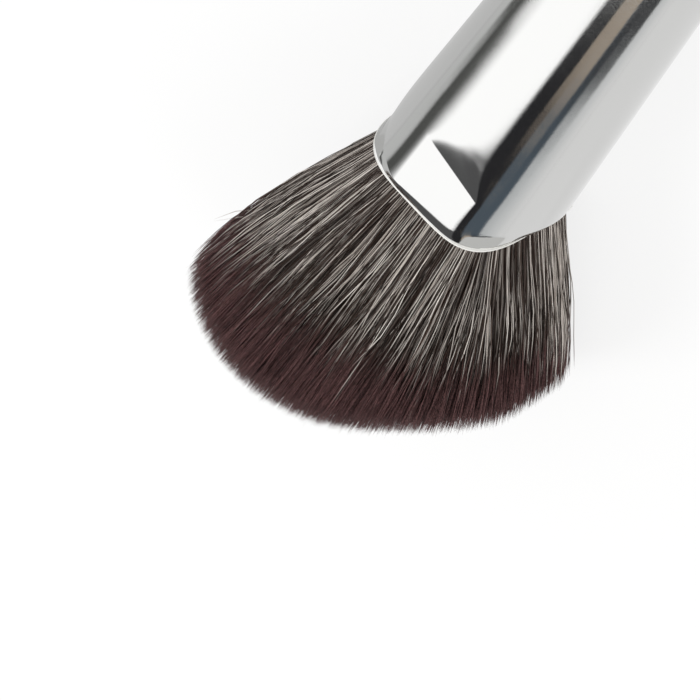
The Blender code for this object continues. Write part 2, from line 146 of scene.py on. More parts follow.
# What metal sees: a white room with dark flags. Each flag is where all its planes are passed: a normal,
# the sine of the angle at which the flag starts, and how much further it is full.
behindLeft = ((0.994, 0.11, 0.0), -0.547, 0.02)  # seen only in the back half of the ferrule
behindRight = ((0.998, -0.06, 0.0), -0.562, 0.011)
aheadLeft = ((-0.994, -0.11, 0.0), 0.512, 0.02)
notMouth = ((-1.0, 0.0, 0.0), 0.545, 0.01)
roomFlags = [
    {   # grey wall to the left
        "sides": [(flipped(alongAxis(-70.0)), 0.0, 0.06), ((0.0, 1.0, 0.0), 0.3, 0.1)],
        "colour": "#DADBDA",
    },
    {   # grey wall to the right
        "sides": [(alongAxis(60.0), 0.0, 0.05), (flipped(alongAxis(93.0)), 0.0, 0.34)],
        "colour": "#D6D9DA",
    },
    {   # thin dark flag to the left, soft towards the top
        "sides": [(flipped(alongAxis(-36.0)), 0.0, 0.32), (alongAxis(-75.5), 0.0, 0.09), aheadLeft],
        "colour": "#5E5F5D",
    },
    {   # which steps outwards at the back
        "sides": [
            (flipped(alongAxis(-50.0)), 0.0, 0.22), (alongAxis(-82.5), 0.0, 0.09), behindLeft,
            ((-1.0, 0.0, 0.0), 0.56, 0.03),
        ],
        "colour": "#5E5F5D",
    },
    {   # dark front of the room, seen in the rolled edge
        "sides": [
            ((-1.0, 0.0, 0.0), 0.76, 0.1), ((0.0, -1.0, 0.0), -0.42, 0.08),
            ((0.0, 1.0, 0.0), -0.45, 0.1),
        ],
        "colour": "#5E5F5F",
    },
    {   # and in the ramp behind the crease
        "sides": [
            ((-0.788, -0.6155, 0.0), 0.472, 0.11), ((-0.969, -0.247, 0.0), 0.63, 0.055),
            (flipped(alongAxis(50.0)), 0.0, 0.05), ((0.0, -1.0, 0.0), -0.165, 0.06),
        ],
        "colour": "#606061",
    },
    {   # blue-grey wall
        "sides": [(alongAxis(44.0), 0.0, 0.02), (flipped(alongAxis(66.5)), 0.0, 0.04), notMouth],
        "colour": "#5A656F",
    },
    {   # its darker end
        "sides": [
            (alongAxis(56.0), 0.0, 0.03), (flipped(alongAxis(78.0)), 0.0, 0.05),
            behindRight, notMouth,
        ],
        "colour": "#454648",
    },
    {   # long black flag beside the soft box
        "sides": [(alongAxis(17.5), 0.0, 0.09), (flipped(alongAxis(46.5)), 0.0, 0.02)],
        "colour": "#303032",
    },
    {   # a wooden shelf
        "sides": [
            (alongAxis(37.5), 0.0, 0.02), (flipped(alongAxis(57.0)), 0.0, 0.03),
            behindRight, notMouth,
        ],
        "colour": "#BBAD9D",
    },
    {   # two pale walls behind, seen only in the corners of the rolled edge
        "sides": [((1.0, 0.0, 0.0), -0.57, 0.02), ((0.0, 1.0, 0.0), 0.6, 0.05)],
        "colour": "#D2D2D1",
    },
    {
        "sides": [((1.0, 0.0, 0.0), -0.556, 0.015), ((0.0, -1.0, 0.0), 0.15, 0.08)],
        "colour": "#E2E2E0",
    },
]

world = bpy.data.worlds.new("whiteRoom")
scene.world = world
world.use_nodes = True
tree = world.node_tree
tree.nodes.clear()
place = addNode(tree, "ShaderNodeTexCoord").outputs["Generated"]
height = addNode(tree, "ShaderNodeSeparateXYZ", {0: place}).outputs["Z"]
lift = addNode(
    tree, "ShaderNodeMapRange",
    {
        0: height, 1: roomValues["topStarts"], 2: roomValues["topFull"],
        3: roomValues["wall"], 4: roomValues["softTop"],
    },
    interpolation_type="SMOOTHSTEP",
).outputs[0]
room = addNode(tree, "ShaderNodeCombineColor", {0: lift, 1: lift, 2: lift}).outputs[0]
for flag in roomFlags:
    share = None
    for normal, start, width in flag["sides"]:
        facing = addNode(tree, "ShaderNodeVectorMath", {0: place, 1: normal}, operation="DOT_PRODUCT")
        edge = addNode(
            tree, "ShaderNodeMapRange", {0: facing.outputs["Value"], 1: start, 2: start + width},
            interpolation_type="SMOOTHSTEP",
        ).outputs[0]
        if share is None:
            share = edge
        else:
            share = addNode(tree, "ShaderNodeMath", {0: share, 1: edge}, operation="MULTIPLY").outputs[0]
    room = addNode(
        tree, "ShaderNodeMix", {0: share, 6: room, 7: toLinear(flag["colour"])}, data_type="RGBA",
    ).outputs[2]
rays = addNode(tree, "ShaderNodeLightPath")
glossRoom = addNode(tree, "ShaderNodeBackground", {0: room, 1: 1.0}).outputs[0]
evenFill = addNode(tree, "ShaderNodeBackground", {0: (1, 1, 1, 1), 1: roomValues["fill"]}).outputs[0]
white = addNode(tree, "ShaderNodeBackground", {0: (1, 1, 1, 1), 1: 1.0}).outputs[0]
lit = addNode(
    tree, "ShaderNodeMixShader", {0: rays.outputs["Is Glossy Ray"], 1: evenFill, 2: glossRoom}
).outputs[0]
seen = addNode(
    tree, "ShaderNodeMixShader", {0: rays.outputs["Is Camera Ray"], 1: lit, 2: white}
).outputs[0]
addNode(tree, "ShaderNodeOutputWorld", {0: seen})

clearSelection()
bpy.ops.mesh.primitive_plane_add(size=roomValues["floorSize"], location=(0.0, 0.0, 0.0))
floor = bpy.context.object
floor.name = "paperFloor"
# Matt white paper sweep: much of its look is its own white, so the shadow stays soft and pale.
paper, tree, shader = newMaterial("matteWhitePaper")
shader.inputs["Base Color"].default_value = toLinear(roomValues["paper"])
shader.inputs["Roughness"].default_value = roomValues["paperRoughness"]
shader.inputs["Specular IOR Level"].default_value = 0.0
rays = addNode(tree, "ShaderNodeLightPath")
mirrored = addNode(
    tree, "ShaderNodeMath", {0: rays.outputs["Is Glossy Ray"], 1: rays.outputs["Is Transmission Ray"]},
    operation="MAXIMUM",
).outputs[0]
direct = addNode(
    tree, "ShaderNodeMath", {0: rays.outputs["Is Camera Ray"], 1: roomValues["floorShare"]},
    operation="MULTIPLY",
).outputs[0]
ownShare = addNode(
    tree, "ShaderNodeMath", {0: mirrored, 1: roomValues["mirrorShare"], 2: direct},
    operation="MULTIPLY_ADD",
).outputs[0]
across = addNode(
    tree, "ShaderNodeSeparateXYZ", {0: addNode(tree, "ShaderNodeTexCoord").outputs["Object"]}
).outputs["Y"]
# painted reflection: in reflections only, the paper's glow dims towards +Y, as if a grey card lay to the
# left
paintedReflection = addNode(
    tree, "ShaderNodeMapRange",
    {
        0: across, 1: roomValues["paintedReflectionStarts"], 2: roomValues["paintedReflectionFull"],
        3: 1.0, 4: roomValues["paintedReflectionShade"],
    },
    interpolation_type="SMOOTHSTEP",
).outputs[0]
strength = addNode(
    tree, "ShaderNodeMix", {0: mirrored, 2: 1.0, 3: paintedReflection}, data_type="FLOAT"
).outputs[0]
glow = addNode(tree, "ShaderNodeEmission", {0: (1, 1, 1, 1), 1: strength}).outputs[0]
paperLook = addNode(tree, "ShaderNodeMixShader", {0: ownShare, 1: shader.outputs[0], 2: glow})
tree.links.new(paperLook.outputs[0], tree.nodes["Material Output"].inputs[0])
floor.data.materials.append(paper)

# name, direction from the mouth, distance and size in metres, and watts
lampList = [
    ("keySoftbox", (-0.72, 0.237, 0.652), 0.45, 0.18, 0.95),
    ("sideFill", (0.30, -0.75, 0.60), 0.60, 0.25, 0.95),
]
for name, towards, distance, size, power in lampList:
    lampData = bpy.data.lights.new(name, "AREA")
    lampData.shape = "SQUARE"
    lampData.size = size
    lampData.energy = power
    lamp = bpy.data.objects.new(name, lampData)
    scene.collection.objects.link(lamp)
    direction = Vector(towards).normalized()
    lamp.location = mouthPlace + direction * distance
    lamp.rotation_euler = direction.to_track_quat("Z", "Y").to_euler()
    lamp.visible_glossy = False  # metal sees the room's soft light only
print("room, floor and lamps set")


# Adds a circle and extrudes it from ring to ring. A ring is a list of (x, radius), one for each
# side, and the extrusion either closes on itself or gets a cap at both ends.
def extrudeThrough(name, rings, closed):
    sides = len(rings[0])
    step = 2.0 * math.pi / sides

    def put(vert, index, ring):
        x, radius = ring[index]
        vert.co = (x, radius * math.cos(index * step), radius * math.sin(index * step))

    clearSelection()
    bpy.ops.mesh.primitive_circle_add(vertices=sides, radius=1.0, location=(0.0, 0.0, 0.0))
    piece = bpy.context.object
    piece.name = name
    piece.data.name = name
    bpy.ops.object.mode_set(mode="EDIT")
    build = bmesh.from_edit_mesh(piece.data)
    build.verts.ensure_lookup_table()
    for index, vert in enumerate(build.verts):
        put(vert, index, rings[0])
    bmesh.update_edit_mesh(piece.data)
    for ring in rings[1:]:
        bpy.ops.mesh.extrude_region_move()
        build = bmesh.from_edit_mesh(piece.data)
        for vert in build.verts:
            if vert.select:
                index = round(math.atan2(vert.co.z, vert.co.y) / step) % sides
                put(vert, index, ring)
        bmesh.update_edit_mesh(piece.data)
    if closed:  # the last ring lies on the first
        bpy.ops.mesh.select_all(action="SELECT")
        bpy.ops.mesh.remove_doubles(threshold=0.0005)  # millimetres here
    else:
        bpy.ops.mesh.edge_face_add()
        bpy.ops.mesh.select_all(action="DESELECT")
        bpy.ops.mesh.select_mode(type="EDGE")
        bpy.ops.mesh.select_non_manifold()
        bpy.ops.mesh.edge_face_add()
    bpy.ops.mesh.select_all(action="SELECT")
    bpy.ops.mesh.normals_make_consistent(inside=False)
    bpy.ops.object.mode_set(mode="OBJECT")
    piece.matrix_world = layDown
    bpy.ops.object.transform_apply(location=True, rotation=True, scale=True)
    bpy.ops.object.shade_smooth()
    return piece


ferruleValues = {
    "sides": 200,
    "length": 46.0,
    "shoulderRadius": 9.42,
    "tailRadius": 7.6,
    "wall": 0.5,
    "tailRound": 0.2,
    "pinchLength": 9.0,
    "flareEase": 0.00156,  # the widening eases off towards the mouth
    "panelDepth": 0.73,  # flats pressed into both broad faces
    "panelTwist": -6.1,
    "creasePlace": 8.56,  # where the flats begin
    "creaseSlant": 0.247,
    "rampSlope": 0.151,
    "panelSoft": 0.11,
    "rampSoft": 0.3,
    "rampSoftLength": 4.0,
    "mouthHalfWidth": 8.75,
    "mouthHalfDepth": 8.42,
    "mouthSquareness": 4.0,
    "farSquareness": 2.6,  # rounder at the far corner of the long side
    "pinchHalfWidth": 9.15,  # the tube's outline where the rolled edge starts
    "pinchHalfDepth": 9.5,
    "pinchSquareness": 2.35,
    "pinchCurve": 4.26,  # how fast the tube closes to it
    "lipLength": 1.5,
    "lipBend": 1.35,
    "rimAhead": 0.74,
    "rimSlant": 0.075,
    "rimBow": 1.5,
    "sideDip": 0.7,  # the rim falls back further in the middle of the short side
    "bead": 0.13,
    "beadSink": -0.045,
    "innerEdge": 0.06,  # how far behind the rim the inner wall starts
    "crimps": (45.0, 43.6),
    "crimpWidth": 0.9,
    "crimpDepth": 0.2,
    "crimpRings": 10,
    # rings along the plain tube, in millimetres behind the crease, and in shares of the way from
    # the mouth to the crease: closer where the shape turns
    "tubeRings": (42.9, 42.0, 38.0, 34.0, 30.0, 27.0, 24.0),
    "rampRings": (
        12.0, 10.5, 9.2, 8.2, 7.4, 6.8, 6.2, 5.7, 5.2, 4.8, 4.4, 4.0,
        3.6, 3.2, 2.8, 2.4, 2.0, 1.6, 1.2, 0.8, 0.4, 0.15, 0.03,
    ),
    "pinchRings": (
        0.9965, 0.98, 0.94, 0.88, 0.8, 0.72, 0.64, 0.56, 0.48, 0.41, 0.35, 0.3, 0.26, 0.23,
        0.205, 0.19, 0.178, 0.168, 0.158, 0.146, 0.132, 0.116, 0.1, 0.083, 0.066, 0.05, 0.036,
    ),
    "innerPinchRings": (0.06, 0.13, 0.22, 0.36, 0.6, 0.97),
    "innerRampRings": (1.0, 2.5, 4.5, 7.0),
}
tube = ferruleValues
taper = (tube["shoulderRadius"] - tube["tailRadius"]) / (tube["length"] - tube["pinchLength"])


def tubeRadius(x):
    ahead = tube["pinchLength"] - x
    return tube["shoulderRadius"] + taper * ahead - tube["flareEase"] * max(0.0, ahead) ** 2


def softMinimum(a, b, soft):
    return 0.5 * (a + b - math.sqrt((a - b) ** 2 + soft * soft))


def panelRadius(angle, height):
    twist = math.radians(tube["panelTwist"])
    side = 1.0 if math.sin(angle) >= 0.0 else -1.0
    facing = side * (math.sin(angle) * math.cos(twist) + math.cos(angle) * math.sin(twist))
    return height / max(facing, 0.001)


def squircle(angle, halfWidth, halfDepth, squareness):
    across = abs(math.cos(angle) / halfWidth) ** squareness
    through = abs(math.sin(angle) / halfDepth) ** squareness
    return (across + through) ** (-1.0 / squareness)


def mouthRadius(angle):
    farCorner = math.sin(angle) < 0.0 and math.cos(angle) > 0.0
    squareness = tube["farSquareness"] if farCorner else tube["mouthSquareness"]
    return squircle(angle, tube["mouthHalfWidth"], tube["mouthHalfDepth"], squareness)


def rimPlace(angle):
    y = mouthRadius(angle) * math.cos(angle)
    dip = tube["sideDip"] * max(0.0, -math.cos(angle)) ** 6
    bow = tube["rimBow"] * (abs(y) / tube["mouthHalfWidth"]) ** 4
    return tube["rimAhead"] + bow - tube["rimSlant"] * y + dip


def creaseAt(angle):
    return tube["creasePlace"] + tube["creaseSlant"] * mouthRadius(angle) * math.cos(angle)


# Behind the crease: a short ramp rises from the pressed flat to the round tube.
def rampedPoint(angle, behind):
    x = creaseAt(angle) + behind
    height = tubeRadius(tube["creasePlace"]) - tube["panelDepth"] + tube["rampSlope"] * behind
    softer = min(1.0, behind / tube["rampSoftLength"])
    soft = tube["panelSoft"] + (tube["rampSoft"] - tube["panelSoft"]) * softer
    return x, softMinimum(tubeRadius(x), panelRadius(angle, height), soft)


# Ahead of it, with share 0 at the mouth and 1 at the crease: flats, and round sides that close
# to the mouth.
def pinchedRadius(angle, share):
    start = rimPlace(angle)
    x = start + (creaseAt(angle) - start) * share
    front = squircle(angle, tube["pinchHalfWidth"], tube["pinchHalfDepth"], tube["pinchSquareness"])
    side = front + (tubeRadius(x) - front) * (1.0 - (1.0 - share) ** tube["pinchCurve"])
    height = tubeRadius(x * tube["creasePlace"] / creaseAt(angle)) - tube["panelDepth"]
    return x, softMinimum(side, panelRadius(angle, height), tube["panelSoft"])


# And the edge, which is rolled inwards from a crisp fold.
def pinchedPoint(angle, share, inset=0.0, forward=0.0):
    x, radius = pinchedRadius(angle, share)
    drop = pinchedRadius(angle, 0.0)[1] - mouthRadius(angle)
    roll = max(0.0, 1.0 - (x - rimPlace(angle)) / tube["lipLength"])
    return x + forward, radius - drop * roll ** tube["lipBend"] - inset


sideAngles = [2.0 * math.pi * i / tube["sides"] for i in range(tube["sides"])]
ferruleRings = []
for phi in (90, 60, 30, 0):  # rounded tail end
    x = tube["length"] - tube["tailRound"] * (1.0 - math.sin(math.radians(phi)))
    radius = tubeRadius(x) - tube["tailRound"] * (1.0 - math.cos(math.radians(phi)))
    ferruleRings.append([(x, radius)] * tube["sides"])
for middle in tube["crimps"]:
    for stepAt in range(tube["crimpRings"] + 1):
        sweep = math.pi * (0.5 - stepAt / tube["crimpRings"])
        x = middle + 0.5 * tube["crimpWidth"] * math.sin(sweep)
        radius = tubeRadius(x) - tube["crimpDepth"] * math.cos(sweep) ** 2
        ferruleRings.append([(x, radius)] * tube["sides"])
for x in tube["tubeRings"]:
    ferruleRings.append([(x, tubeRadius(x))] * tube["sides"])
for behind in tube["rampRings"]:
    ferruleRings.append([rampedPoint(a, behind) for a in sideAngles])
for share in tube["pinchRings"]:
    ferruleRings.append([pinchedPoint(a, share) for a in sideAngles])
for phi in (30, 55, 80, 105, 130, 155, 180, 215):  # a fine bead at the cut edge
    sweep = math.radians(phi)
    forward = tube["bead"] * (1.0 + math.cos(sweep))
    inset = tube["beadSink"] - tube["bead"] * math.sin(sweep)
    ferruleRings.append([pinchedPoint(a, 0.0, inset, forward) for a in sideAngles])
# and back along the inner wall
ferruleRings.append([pinchedPoint(a, 0.0, tube["wall"], tube["innerEdge"]) for a in sideAngles])
for share in tube["innerPinchRings"]:
    ferruleRings.append([pinchedPoint(a, share, tube["wall"]) for a in sideAngles])
for behind in tube["innerRampRings"]:
    ring = [rampedPoint(a, behind) for a in sideAngles]
    ferruleRings.append([(x, radius - tube["wall"]) for x, radius in ring])
for x in (tube["tubeRings"][-1], tube["length"]):
    ferruleRings.append([(x, tubeRadius(x) - tube["wall"])] * tube["sides"])
ferruleRings.append(ferruleRings[0])
ferrule = extrudeThrough("drawn_ferrule", ferruleRings, closed=True)

# Chrome-plated brass tube, drawn, stamped and buffed: a cool mirror that reflects about three fifths,
# with soft long waves from the drawing and a fine grain where the metal was stretched at the pinch.
chromeValues = {
    "colour": "#CBCBCA",
    "roughness": (0.04, 0.08),
    "grainSize": 0.12,  # millimetres
    "grainHeight": 0.02,
    "grainStrength": 0.13,
    "grainRange": (0.3, 0.7),  # of its noise, over which the roughness goes from least to most
    "waveSize": 9.0,
    "waveHeight": 1.0,
    "waveStrength": 0.03,
}
chrome, tree, shader = newMaterial("buffedChromePlate")
place = addNode(tree, "ShaderNodeTexCoord").outputs["Object"]
grain = addNode(
    tree, "ShaderNodeTexNoise",
    {"Vector": place, "Scale": 1.0 / (chromeValues["grainSize"] * mm), "Detail": 2.0},
).outputs["Fac"]
wave = addNode(
    tree, "ShaderNodeTexNoise",
    {"Vector": place, "Scale": 1.0 / (chromeValues["waveSize"] * mm), "Detail": 1.0},
).outputs["Fac"]
polish = addNode(
    tree, "ShaderNodeMapRange",
    {
        0: grain, 1: chromeValues["grainRange"][0], 2: chromeValues["grainRange"][1],
        3: chromeValues["roughness"][0], 4: chromeValues["roughness"][1],
    },
).outputs[0]
waves = addNode(
    tree, "ShaderNodeBump",
    {
        "Strength": chromeValues["waveStrength"], "Distance": chromeValues["waveHeight"] * mm,
        "Height": wave,
    },
).outputs[0]
grains = addNode(
    tree, "ShaderNodeBump",
    {
        "Strength": chromeValues["grainStrength"], "Distance": chromeValues["grainHeight"] * mm,
        "Height": grain, "Normal": waves,
    },
).outputs[0]
shader.inputs["Base Color"].default_value = toLinear(chromeValues["colour"])
shader.inputs["Metallic"].default_value = 1.0
tree.links.new(polish, shader.inputs["Roughness"])
tree.links.new(grains, shader.inputs["Normal"])
ferrule.data.materials.append(chrome)

# Painted highlight: the cut rim is coloured near white so that it shows as a fine bright line, and is
# rough with fine scratches.
rimHighlightValues = {
    "colour": "#F6F5F1",
    "metallic": 0.25,
    "scratchSize": 0.15,  # millimetres
    "scratchRange": (0.3, 0.7),
    "roughness": (0.5, 0.62),
}
rimHighlight, tree, shader = newMaterial("paintedHighlightRim")
place = addNode(tree, "ShaderNodeTexCoord").outputs["Object"]
scratch = addNode(
    tree, "ShaderNodeTexNoise",
    {"Vector": place, "Scale": 1.0 / (rimHighlightValues["scratchSize"] * mm), "Detail": 2.0},
).outputs["Fac"]
sanding = addNode(
    tree, "ShaderNodeMapRange",
    {
        0: scratch, 1: rimHighlightValues["scratchRange"][0], 2: rimHighlightValues["scratchRange"][1],
        3: rimHighlightValues["roughness"][0], 4: rimHighlightValues["roughness"][1],
    },
).outputs[0]
shader.inputs["Base Color"].default_value = toLinear(rimHighlightValues["colour"])
shader.inputs["Metallic"].default_value = rimHighlightValues["metallic"]
tree.links.new(sanding, shader.inputs["Roughness"])
ferrule.data.materials.append(rimHighlight)
# the faces at the cut edge and its bead take the painted highlight
standUp = layDown.inverted()
for face in ferrule.data.polygons:
    spot = standUp @ face.center
    if spot.x < rimPlace(math.atan2(spot.z, spot.y)) + 2.0 * tube["bead"]:
        face.material_index = 1
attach(ferrule, "root")
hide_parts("ferrule")
print("ferrule:", len(ferrule.data.polygons), "faces")

handleValues = {
    "sides": 112,
    "bodyStart": 46.3,
    "bodyLength": 101.0,
    "bodyRings": 48,
    "jointRadius": 7.45,
    "jointRound": 0.35,
    "jointRecess": 0.45,
    "swellRadius": 7.95,
    "swellAt": 0.14,
    "tailRadius": 3.7,
    "tailBow": 0.9,
    "buttRound": 1.6,
    "tenonRadius": 6.2,
    "tenonLength": 24.0,
    "tenonChamfer": 0.8,
    "tenonFillet": 0.1,
    "filletEase": 0.2,  # how far ahead it starts, as a share of its height
    "buttRings": (0.9, 0.4),  # shares of the flat's radius
}
wood = handleValues


def bodyRadius(share):
    if share < wood["swellAt"]:
        ease = math.sin(0.5 * math.pi * share / wood["swellAt"])
        return wood["jointRadius"] + (wood["swellRadius"] - wood["jointRadius"]) * ease
    past = (share - wood["swellAt"]) / (1.0 - wood["swellAt"])
    ease = past * past * (1.0 + wood["tailBow"] - wood["tailBow"] * past)
    return wood["swellRadius"] + (wood["tailRadius"] - wood["swellRadius"]) * ease


tenonStart = tube["length"] - wood["tenonLength"]
profile = [
    (tenonStart, wood["tenonRadius"] - wood["tenonChamfer"]),
    (tenonStart + wood["tenonChamfer"], wood["tenonRadius"]),
    (wood["bodyStart"] - wood["filletEase"] * wood["tenonFillet"], wood["tenonRadius"]),
    (wood["bodyStart"], wood["tenonRadius"] + wood["tenonFillet"]),
    (wood["bodyStart"], wood["jointRadius"] - wood["jointRecess"]),
]
for phi in (15, 40, 65, 90):
    turned = math.radians(phi)
    profile.append((
        wood["bodyStart"] + wood["jointRound"] * (1.0 - math.cos(turned)),
        wood["jointRadius"] - wood["jointRound"] * (1.0 - math.sin(turned)),
    ))
straight = wood["bodyLength"] - wood["buttRound"]
for stepAt in range(1, wood["bodyRings"] + 1):
    share = stepAt / wood["bodyRings"]
    x = wood["bodyStart"] + wood["jointRound"] + (straight - wood["jointRound"]) * share
    profile.append((x, bodyRadius(share)))
for phi in range(10, 91, 10):
    turned = math.radians(phi)
    profile.append((
        wood["bodyStart"] + straight + wood["buttRound"] * math.sin(turned),
        wood["tailRadius"] - wood["buttRound"] * (1.0 - math.cos(turned)),
    ))
buttX, buttRadius = profile[-1]
profile += [(buttX, buttRadius * share) for share in wood["buttRings"]]
handle = extrudeThrough("turned_handle", [[point] * wood["sides"] for point in profile], closed=False)

# Beech dipped in black nitro lacquer and buffed: deep black, clear coat, faint orange peel.
lacquerValues = {
    "colour": "#0B0B0C",
    "gloss": 0.1,  # specular level under the coat
    "ior": 1.5,
    "peelSize": 1.6,  # millimetres
    "peelHeight": 0.3,
    "peelStrength": 0.05,
    "dustSize": 0.25,
    "dustRange": (0.35, 0.75),
    "roughness": (0.16, 0.3),
    "coatRoughness": 0.05,
}
lacquer, tree, shader = newMaterial("dippedBlackLacquer")
place = addNode(tree, "ShaderNodeTexCoord").outputs["Object"]
peel = addNode(
    tree, "ShaderNodeTexNoise",
    {"Vector": place, "Scale": 1.0 / (lacquerValues["peelSize"] * mm), "Detail": 1.0},
).outputs["Fac"]
dust = addNode(
    tree, "ShaderNodeTexNoise",
    {"Vector": place, "Scale": 1.0 / (lacquerValues["dustSize"] * mm), "Detail": 3.0},
).outputs["Fac"]
peels = addNode(
    tree, "ShaderNodeBump",
    {
        "Strength": lacquerValues["peelStrength"], "Distance": lacquerValues["peelHeight"] * mm,
        "Height": peel,
    },
).outputs[0]
haze = addNode(
    tree, "ShaderNodeMapRange",
    {
        0: dust, 1: lacquerValues["dustRange"][0], 2: lacquerValues["dustRange"][1],
        3: lacquerValues["roughness"][0], 4: lacquerValues["roughness"][1],
    },
).outputs[0]
shader.inputs["Base Color"].default_value = toLinear(lacquerValues["colour"])
shader.inputs["Specular IOR Level"].default_value = lacquerValues["gloss"]
shader.inputs["IOR"].default_value = lacquerValues["ior"]
shader.inputs["Coat Weight"].default_value = 1.0
shader.inputs["Coat Roughness"].default_value = lacquerValues["coatRoughness"]
tree.links.new(haze, shader.inputs["Roughness"])
tree.links.new(peels, shader.inputs["Normal"])
tree.links.new(peels, shader.inputs["Coat Normal"])
handle.data.materials.append(lacquer)
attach(handle, "root")
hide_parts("handle")
print("handle:", len(handle.data.polygons), "faces")

hairValues = {
    "strands": 30000,
    "seed": 41,
    "bands": 10,
    "radius": 0.046,  # millimetres, as all its lengths
    "tipRadius": 0.034,
    "squareness": 4.3,  # of the bundle's outline in the mouth
    "farSquareness": 2.3,  # rounder at the far corner of the long side
    "clearance": 0.03,  # to the ferrule's inner wall
    "jitter": 0.004,
    "spareTries": 1.3,  # more than needed, because the corners fall outside
    # the surface on which the tips lie
    "length": 33.2,
    "slant": 9.3,
    "crown": 14.1,
    "dome": 4.5,
    "lobe": 0.5,
    "spread": 18.35,
    "lean": -1.35,
    "crowd": 0.55,
    "halfDepth": 10.0,
    "widest": (-19.75, 17.2),
    "ragged": 0.09,
    "shortShare": 0.2,  # strands that end early, by up to shortBy
    "shortBy": 2.5,
    "scatterAcross": 0.6,
    "scatterThrough": 0.4,
    "calmAcross": (1.2, 1.0, 0.2),  # and how it falls outwards: start, fall and least
    "calmThrough": (1.15, 0.9, 0.25),
    # the way there
    "rootDepth": 4.3,
    "rootShare": 0.96,
    "bow": 0.39,
    "bowSlant": 0.12,
    "bowEase": 0.38,
    "wobble": 0.26,
    "wobbleWaves": 1.25,
    "wobbleThrough": 0.2,  # how much of it goes through the tuft and not across
    "waveEnd": 0.95,
    "someWaves": (0.7, 0.6),  # shares: least, and how much more by chance
    "someSize": (0.4, 1.2),
    "locks": 1100,
    "lockJitter": 0.02,
    "lockPull": 0.16,
    "pullEase": 0.8,
    "lockWobble": 0.09,
    "lockWaves": 1.2,
    "flyaways": [(-26.1, 17.9, 6.0), (-25.7, 16.9, 6.4), (-34.8, 16.9, 6.0)],  # loose tips
    "looseFrom": 0.2,  # the height in the unit mouth above which they are picked
    "looseSpring": 0.3,
    "looseTone": 0.85,
    "looseTurns": 1.2,  # never dark
    "thickness": (0.8, 0.35),  # shares of the radius: least, and how much more by chance
    "paleThicker": 0.15,
    "thinning": ((-0.2, 1.0), (0.5, 1.0), (0.85, 0.88)),  # share along it, and of the radius
    # how many strands are pale, outside and inside, or grey, and where along them they turn dark,
    # as shares
    "paleShare": 0.29,
    # painted shade: fewer pale strands inside the tuft than on its outside, for the shade within it
    "paleInShade": 0.2,
    "greyShare": 0.16,
    "fewerShort": 0.3,  # fewer pale strands towards the short side
    "moreShortEdge": 0.3,  # and more at both edges: partly their own mix, partly painted light where the edges catch it
    "moreLongEdge": 0.1,
    "skinStarts": 0.72,  # how far out in the unit mouth the outer strands and the edges begin
    "skinWidth": 0.2,
    "edgeStarts": 0.8,
    "edgeWidth": 0.12,
    "shortEdgeLow": (0.4, 1.6, 0.0),  # it fades upwards: start, fall and least
    "paleTone": (0.7, 0.3),  # least, and how much more by chance
    "greyTone": (0.15, 0.35),
    "darkTone": (0.0, 0.06),
    "turnsDark": 0.6,
    "turnsBy": 0.1,
    # painted light in part: the pale part reaches further at the short edge, where it catches light
    "laterShortEdge": 0.2,
    "laterLongSide": 0.1,
    "turnsWithin": (0.35, 0.9),
    "bandMix": 0.01,
    "floorGap": 0.02,  # nothing sinks into the table
}
hair = hairValues
dice = np.random.default_rng(hair["seed"])
plasticNumber = 1.324717957244746  # steps of its inverse and of that squared fill a square evenly


# even but irregular places in the unit mouth, u across and v through
def strandPlaces(number):
    tries = np.arange(1, int(number * hair["spareTries"]))
    u = np.mod(0.5 + tries * (1.0 / plasticNumber), 1.0) * 2.0 - 1.0
    v = np.mod(0.5 + tries * (1.0 / plasticNumber / plasticNumber), 1.0) * 2.0 - 1.0
    u = u + dice.normal(0.0, hair["jitter"], u.shape)
    v = v + dice.normal(0.0, hair["jitter"], v.shape)
    squareness = np.where((v < 0.0) & (u > 0.0), hair["farSquareness"], hair["squareness"])
    inside = np.abs(u) ** squareness + np.abs(v) ** squareness < 1.0
    return u[inside][:number], v[inside][:number]


u, v = strandPlaces(hair["strands"])
count = len(u)
insideWidth = tube["mouthHalfWidth"] - tube["wall"] - hair["radius"] - hair["clearance"]
insideDepth = tube["mouthHalfDepth"] - tube["wall"] - hair["radius"] - hair["clearance"]

# Locks: each strand joins the nearest, or nearly, of about a thousand places and is drawn to it.
lockU, lockV = strandPlaces(hair["locks"])
lockTree = KDTree(len(lockU))
for index, spot in enumerate(zip(lockU, lockV)):
    lockTree.insert((spot[0], spot[1], 0.0), index)
lockTree.balance()
lock = np.array([
    lockTree.find((a + da, b + db, 0.0))[1]
    for a, b, da, db in zip(u, v, *dice.normal(0.0, hair["lockJitter"], (2, count)))
])

# rows of points along a strand, from inside the ferrule (below 0) to the tip
shares = np.array([-0.13, 0.0, 0.08, 0.18, 0.3, 0.42, 0.54, 0.66, 0.78, 0.89, 1.0])
rowShares = np.clip(shares, 0.0, 1.0)[None, :]


def tipOf(a, b):
    # on the upper face the short side's strands keep closer to the axis, but not at its very edge
    short = np.clip(-a, 0.0, 1.0)
    a = a * (1.0 - hair["crowd"] * np.sqrt(short) * (1.0 - short ** 5) * np.clip(b, 0.0, 1.0) ** 2)
    reach = hair["length"] + hair["slant"] * a - hair["crown"] * a * a
    reach = reach + hair["dome"] * (1.0 - np.abs(b) ** 3)
    reach = reach + hair["lobe"] * (a - a ** 3)
    return reach, hair["spread"] * a + hair["lean"] * a * a, hair["halfDepth"] * b


def rimAt(a):
    return tube["rimAhead"] + tube["rimBow"] * np.abs(a) ** 4 - tube["rimSlant"] * a * insideWidth


# a share that falls from its start and stays between the least and 1
def falling(amount, start, fall, least):
    return np.clip(start - fall * amount, least, 1.0)


# random numbers from the least up to how much more
def someBetween(least, more, number):
    return least + more * dice.random(number)


# how far a strand has spread at each share
def spreadOf(a):
    bow = (hair["bow"] + hair["bowSlant"] * a)[:, None]
    return rowShares + bow * rowShares ** (1.0 + hair["bowEase"]) * (1.0 - rowShares)


